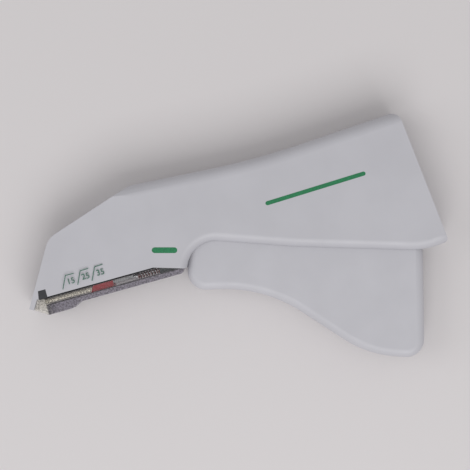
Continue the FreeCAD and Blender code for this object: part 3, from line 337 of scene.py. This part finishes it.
# Lengths in mm; the fourth value of a colour is how much it covers
clearLook = {
    "deepest": 7.5, "edgeDepth": 0.56, "edgeStart": 6.4, "floorTop": 2.95, "lineFoot": 3.3,
    # chinShade is how far the painted shade on the chin behind the tip darkens the bands
    "soft": 0.07, "tipEnd": 5.2, "tipFade": 0.6, "chinEnd": 9.0, "chinShade": 0.4,
    # the nearly black colour is a painted shadow of the gap under the housing
    "edge": colour(12, 12, 15), "window": colour(190, 187, 192, 0.07),
    # the dark line colour is a painted shade line at the floor's top
    "line": colour(88, 84, 88, 0.7), "floor": colour(146, 140, 152, 0.64),
    # the pale tip colour is painted glints of the steel seen through it
    "tip": colour(240, 234, 226, 0.38), "between": colour(202, 202, 210, 0.3),
    "cloud": 0.4, "cloudRange": (0.4, 0.6), "cloudScale": 1400, "cloudDetail": 5.0,
    "patches": (1.25, 1.0), "cheekFacing": (0.5, 0.8), "refraction": 1.5, "specular": 0.5,
    "roughness": (0.12, 0.26), "glossScale": 500,
    "rippleScale": 700, "ripple": 0.3, "rippleDepth": 0.2,
}
steelLooks = {
    "brightSteel": {
        "base": colour(172, 172, 173), "stainScale": 260, "lineScale": 5000,
        "turn": nose["channelTurn"], "roughness": (0.18, 0.34), "lines": 0.2,
    },
    "plateSteel": {
        "base": colour(236, 235, 231), "stainScale": 400, "lineScale": 5000,
        "turn": nose["driverTurn"], "roughness": (0.36, 0.52), "lines": 0.2,
    },
    "stapleWire": {
        "base": colour(216, 210, 197), "stainScale": 900, "lineScale": 6000,
        "turn": 0, "roughness": (0.2, 0.34), "lines": 0.15,
    },
    "springSteel": {
        "base": colour(146, 98, 92), "stainScale": 700, "lineScale": 6000,
        "turn": 0, "roughness": (0.44, 0.6), "lines": 0.2,
    },
}
inkCover = {"coverScale": 1800, "coverDetail": 4.0, "shades": (0.85, 1.2), "roughness": 0.5}
inkLooks = {
    "greenInk": {"base": colour(20, 116, 72), **inkCover},
    "scaleInk": {"base": colour(62, 104, 88), **inkCover},
}

finishes = {name: mouldedPlastic(name, look) for name, look in plasticLooks.items()}
finishes.update({name: steelFinish(name, look) for name, look in steelLooks.items()})
finishes.update({name: printInk(name, look) for name, look in inkLooks.items()})
finishes["clearPlastic"] = clearPlastic("clearPlastic", clearLook)
print("materials made:", len(finishes))

# Which finish each piece of the frame gets; the others are bright steel
nodeFinish = {
    "left_housing": "whitePlastic",
    "right_housing": "whitePlastic",
    "trigger": "triggerPlastic",
    "magazine": "clearPlastic",
    "driver_guide": "blackPlastic",
    "feeder_shoe": "redPlastic",
    "rocker": "greyPlastic",
    "driver_head": "greyPlastic",
    "spring_stop": "darkPlastic",
    "nose_plate": "plateSteel",
    "staples": "stapleWire",
    "feeder_spring": "springSteel",
    "trigger_return_spring": "springSteel",
}
# Width in mm of the broken edges of moulded pieces
edgeBreak = {
    "left_housing": 0.2, "right_housing": 0.2, "trigger": 0.2,
    "magazine": 0.1, "feeder_shoe": 0.1, "spring_stop": 0.15,
}
edgeForm = {"join": 0.002, "segments": 2, "sharpest": 40}  # mm, count, degrees
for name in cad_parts:
    piece = bpy.data.objects[name]
    piece.data.materials.clear()
    piece.data.materials.append(finishes[nodeFinish.get(name, "brightSteel")])
    if name in edgeBreak:
        # the faces of a frame piece share no corners until they are joined
        joined = piece.modifiers.new("joinFaces", "WELD")
        joined.merge_threshold = edgeForm["join"] * mm
        bevel = piece.modifiers.new("edgeBreak", "BEVEL")
        bevel.width = edgeBreak[name] * mm
        bevel.segments = edgeForm["segments"]
        bevel.limit_method = "ANGLE"
        bevel.angle_limit = math.radians(edgeForm["sharpest"])
print("frame pieces finished")


def newPiece(name, mesh, finish, body):
    piece = bpy.data.objects.new(name, mesh)
    bpy.context.scene.collection.objects.link(piece)
    piece.data.materials.append(finishes[finish])
    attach(piece, body)
    return piece


def meshOf(name, shape):
    # turns the faces outward and ends the shape
    bmesh.ops.recalc_face_normals(shape, faces=shape.faces)
    mesh = bpy.data.meshes.new(name)
    shape.to_mesh(mesh)
    shape.free()
    return mesh


# Printing on the upper face: a plain scale of numbers, and plain bars
printing = {
    # mm
    "lift": 0.01, "thick": 0.01, "line": 0.34, "numberHeight": 2.3, "numberWeight": 0.03,
    # size of the font for each unit of height, and turn in degrees
    "fontShare": 1.4, "numberTurn": 15.5,
    # pixels of the photograph; a bar also has its width in mm
    "brackets": [
        [(62.9, 289.4), (65.4, 275.4), (73.7, 273.3)],
        [(77.8, 284.8), (80.1, 270.8), (88.2, 268.3)],
        [(92.1, 280.8), (94.6, 266.7), (102.5, 264.2)],
    ],
    "numbers": [("15", 70.9, 281.2), ("25", 85.6, 276.4), ("35", 100.3, 272.4)],
    "bars": [((154.6, 250.2), (174.4, 250.2), 2.2), ((267.5, 203.2), (363.5, 173.6), 1.6)],
}
inkHeight = Vector((0, 0, printing["lift"] * mm))


def onFace(pixel):
    return fromPhoto(*pixel) + inkHeight


def solidFromOutline(name, outline, thick):
    # a flat closed outline, listed anticlockwise, as a thin solid
    shape = bmesh.new()
    low = [shape.verts.new(point) for point in outline]
    high = [shape.verts.new(point + Vector((0, 0, thick))) for point in outline]
    shape.faces.new(low[::-1])
    shape.faces.new(high)
    for index in range(len(outline)):
        after = (index + 1) % len(outline)
        shape.faces.new((low[index], low[after], high[after], high[index]))
    return meshOf(name, shape)


def crossOf(along):
    return Vector((-along.y, along.x, 0))


def lineOutline(points, width, sharpest=0.4):
    # the outline of a line of even width through the points, mitred at its corners
    left, right = [], []
    for index, point in enumerate(points):
        before = (point - points[index - 1]).normalized() if index else None
        after = (points[index + 1] - point).normalized() if index + 1 < len(points) else None
        before, after = before or after, after or before
        across = crossOf((before + after).normalized())
        reach = width / 2 / max(across.dot(crossOf(after)), sharpest)
        left.append(point + across * reach)
        right.append(point - across * reach)
    return right + left[::-1]


def barOutline(start, end, width, steps=8):
    # a bar with round ends
    along = (end - start).normalized()
    across = crossOf(along)
    outline = []
    for centre, first in ((end, -90), (start, 90)):
        for step in range(steps + 1):
            angle = math.radians(first + 180 * step / steps)
            spoke = along * math.cos(angle) + across * math.sin(angle)
            outline.append(centre + spoke * width / 2)
    return outline


def printOutline(name, outline, ink):
    mesh = solidFromOutline(name, outline, printing["thick"] * mm)
    newPiece(mesh.name, mesh, ink, "housing")


for number, bracket in enumerate(printing["brackets"], start=1):
    points = [onFace(pixel) for pixel in bracket]
    outline = lineOutline(points, printing["line"] * mm)
    printOutline("scaleBracket%d" % number, outline, "scaleInk")
for number, (start, end, width) in enumerate(printing["bars"], start=1):
    outline = barOutline(onFace(start), onFace(end), width * mm)
    printOutline("printedBar%d" % number, outline, "greenInk")
for words, px, py in printing["numbers"]:
    letters = bpy.data.curves.new("numberCurve", "FONT")
    letters.body = words
    letters.size = printing["numberHeight"] * printing["fontShare"] * mm
    letters.align_x = "CENTER"
    letters.align_y = "CENTER"
    letters.extrude = printing["thick"] * mm / 2
    letters.offset = printing["numberWeight"] * mm
    holder = bpy.data.objects.new("numberHolder", letters)
    bpy.context.scene.collection.objects.link(holder)
    mesh = bpy.data.meshes.new_from_object(holder)
    bpy.data.objects.remove(holder)
    turn = Matrix.Rotation(math.radians(printing["numberTurn"]), 4, "Z")
    mesh.transform(Matrix.Translation(onFace((px, py))) @ turn)
    newPiece("scaleNumber" + words, mesh, "scaleInk", "housing")
print("printing placed")


def addWire(shape, centres, facings, radii, sides):
    # a round wire through the centres, in metres with its radii in mm; each facing is a
    # direction across the wire at that place
    rings = []
    for index, (centre, facing, radius) in enumerate(zip(centres, facings, radii)):
        along = centres[min(index + 1, len(centres) - 1)] - centres[max(index - 1, 0)]
        side = along.cross(facing).normalized()
        angles = [2 * math.pi * step / sides for step in range(sides)]
        spokes = [facing * math.cos(angle) + side * math.sin(angle) for angle in angles]
        rings.append([shape.verts.new(centre + spoke * radius * mm) for spoke in spokes])
    for near, far in zip(rings, rings[1:]):
        for step in range(sides):
            after = (step + 1) % sides
            shape.faces.new((near[step], near[after], far[after], far[step]))
    shape.faces.new(rings[0][::-1])
    shape.faces.new(rings[-1])


def wirePiece(name, shape, finish):
    mesh = meshOf(name, shape)
    mesh.shade_smooth()
    return newPiece(name, mesh, finish, "housing")


# Staples as round wire with bent shoulders and sharpened legs, in place of the square ones.
# Lengths in mm; sharp is the share of the thickness that is left at the point, and place and
# height are those of the first crown from the nose tip, in the driver's directions
staple = {
    "wire": 0.48, "bend": 0.7, "crown": 12.6, "leg": 3.1, "point": 0.7, "sharp": 0.2,
    "sides": 8, "steps": 4, "place": 3.79, "height": 1.774, "pitch": 0.582, "count": 35,
}


def staplePath():
    # (across, up, thickness) from the tip of one leg to the tip of the other, seen from behind
    half, bend = (staple["crown"] - staple["wire"]) / 2, staple["bend"]
    foot = staple["wire"] / 2 - staple["leg"]
    side = [(half, foot, staple["sharp"]), (half, foot + staple["point"], 1.0)]
    for step in range(staple["steps"] + 1):
        angle = math.radians(90 * step / staple["steps"])
        side.append((half - bend + bend * math.cos(angle), -bend + bend * math.sin(angle), 1.0))
    return side + [(-across, up, thick) for across, up, thick in side[::-1]]


def unitAlong(turn):
    return (fromNose(turn, 1, 0) - fromNose(turn, 0, 0)).normalized()


rearward, crossways = unitAlong(nose["channelTurn"]), unitAlong(nose["driverTurn"])
path = staplePath()
radii = [thick * staple["wire"] / 2 for across, up, thick in path]
rowShape = bmesh.new()
for number in range(staple["count"]):
    shift = rearward * staple["pitch"] * number * mm
    centres = [
        fromNose(nose["driverTurn"], staple["place"], staple["height"] + up, across) + shift
        for across, up, thick in path
    ]
    addWire(rowShape, centres, [crossways] * len(path), radii, staple["sides"])
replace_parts(wirePiece("stapleWires", rowShape, "stapleWire"), "staples")
print("staples bent from round wire:", staple["count"])

# Feeder spring as a coil with closed ends.
# Lengths in mm; starts and ends are along the channel from the nose tip
coil = {
    "wire": 0.4, "radius": 1.3, "turns": 9, "closedTurns": 1, "start": 41.65, "end": 50.25,
    "drop": 1.4, "collarEnd": 41.4, "stopFace": 50.5, "travel": 5.0, "sides": 8, "steps": 20,
}


def coilTurns():
    # (turn, along) round the coil; the first and last turns lie closed against their neighbours
    closed, turns = coil["closedTurns"], coil["turns"]
    openTurns = turns - 2 * closed
    pitch = (coil["end"] - coil["start"] - 2 * closed * coil["wire"]) / openTurns
    for step in range(turns * coil["steps"] + 1):
        turn = step / coil["steps"]
        closedPart = min(turn, closed) + max(turn - turns + closed, 0)
        openPart = min(max(turn - closed, 0), openTurns)
        yield turn, coil["start"] + closedPart * coil["wire"] + openPart * pitch


def onCoilAxis(along, up=0.0, across=0.0):
    return fromNose(nose["channelTurn"], along, up - coil["drop"], across)


centres, facings = [], []
for turn, along in coilTurns():
    up, across = math.cos(2 * math.pi * turn), math.sin(2 * math.pi * turn)
    centre = onCoilAxis(along, coil["radius"] * up, coil["radius"] * across)
    centres.append(centre)
    facings.append((centre - onCoilAxis(along)).normalized())
coilShape = bmesh.new()
addWire(coilShape, centres, facings, [coil["wire"] / 2] * len(centres), coil["sides"])
coilPiece = wirePiece("feederCoil", coilShape, "springSteel")
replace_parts(coilPiece, "feeder_spring")
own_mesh(coilPiece)
print("feeder spring wound")

# Floor, lights and camera: metres, watts, and the sensor's width in mm
stage = {
    "floor": colour(216, 212, 213), "floorSize": 3.0, "floorRoughness": 0.9,
    "keyPlace": (0.15, -0.68, 1.0), "keySize": 0.9, "keyPower": 6.9,
    "fillPlace": (-0.8, 0.0, 0.9), "fillSize": 0.7, "fillPower": 1.6,
    "lit": (0.01, 0, 0), "worldStrength": 0.5, "cameraHeight": 0.72, "sensor": 36,
}
floorMesh = bpy.data.meshes.new("floor")
half = stage["floorSize"] / 2
floorCorners = [(-half, -half, 0), (half, -half, 0), (half, half, 0), (-half, half, 0)]
floorMesh.from_pydata(floorCorners, [], [(0, 1, 2, 3)])
floor = bpy.data.objects.new("floor", floorMesh)
bpy.context.scene.collection.objects.link(floor)
floorPaper = startMaterial("floorPaper")[0]
floorShader = floorPaper.node_tree.nodes["Principled BSDF"]
floorShader.inputs["Base Color"].default_value = stage["floor"]
floorShader.inputs["Roughness"].default_value = stage["floorRoughness"]
floor.data.materials.append(floorPaper)


def areaLight(name):
    light = bpy.data.lights.new(name + "Light", "AREA")
    light.shape = "SQUARE"
    light.size = stage[name + "Size"]
    light.energy = stage[name + "Power"]
    lamp = bpy.data.objects.new(name + "Light", light)
    bpy.context.scene.collection.objects.link(lamp)
    lamp.location = stage[name + "Place"]
    aim = Vector(stage["lit"]) - Vector(stage[name + "Place"])
    lamp.rotation_euler = aim.to_track_quat("-Z", "Y").to_euler()


areaLight("key")
areaLight("fill")
world = bpy.data.worlds.new("studio")
bpy.context.scene.world = world
world.use_nodes = True
world.node_tree.nodes["Background"].inputs["Color"].default_value = white
world.node_tree.nodes["Background"].inputs["Strength"].default_value = stage["worldStrength"]

camera = bpy.data.cameras.new("camera")
camera.sensor_width = stage["sensor"]
viewWidth = photo["size"] * photo["perPixel"] * mm
camera.lens = camera.sensor_width * (stage["cameraHeight"] - topFace) / viewWidth
cameraObject = bpy.data.objects.new("camera", camera)
bpy.context.scene.collection.objects.link(cameraObject)
middle = fromPhoto(photo["size"] / 2, photo["size"] / 2)
cameraObject.location = (middle.x, middle.y, stage["cameraHeight"])
bpy.context.scene.camera = cameraObject
bpy.context.scene.view_settings.view_transform = "Standard"
print("stage, lights and camera set")
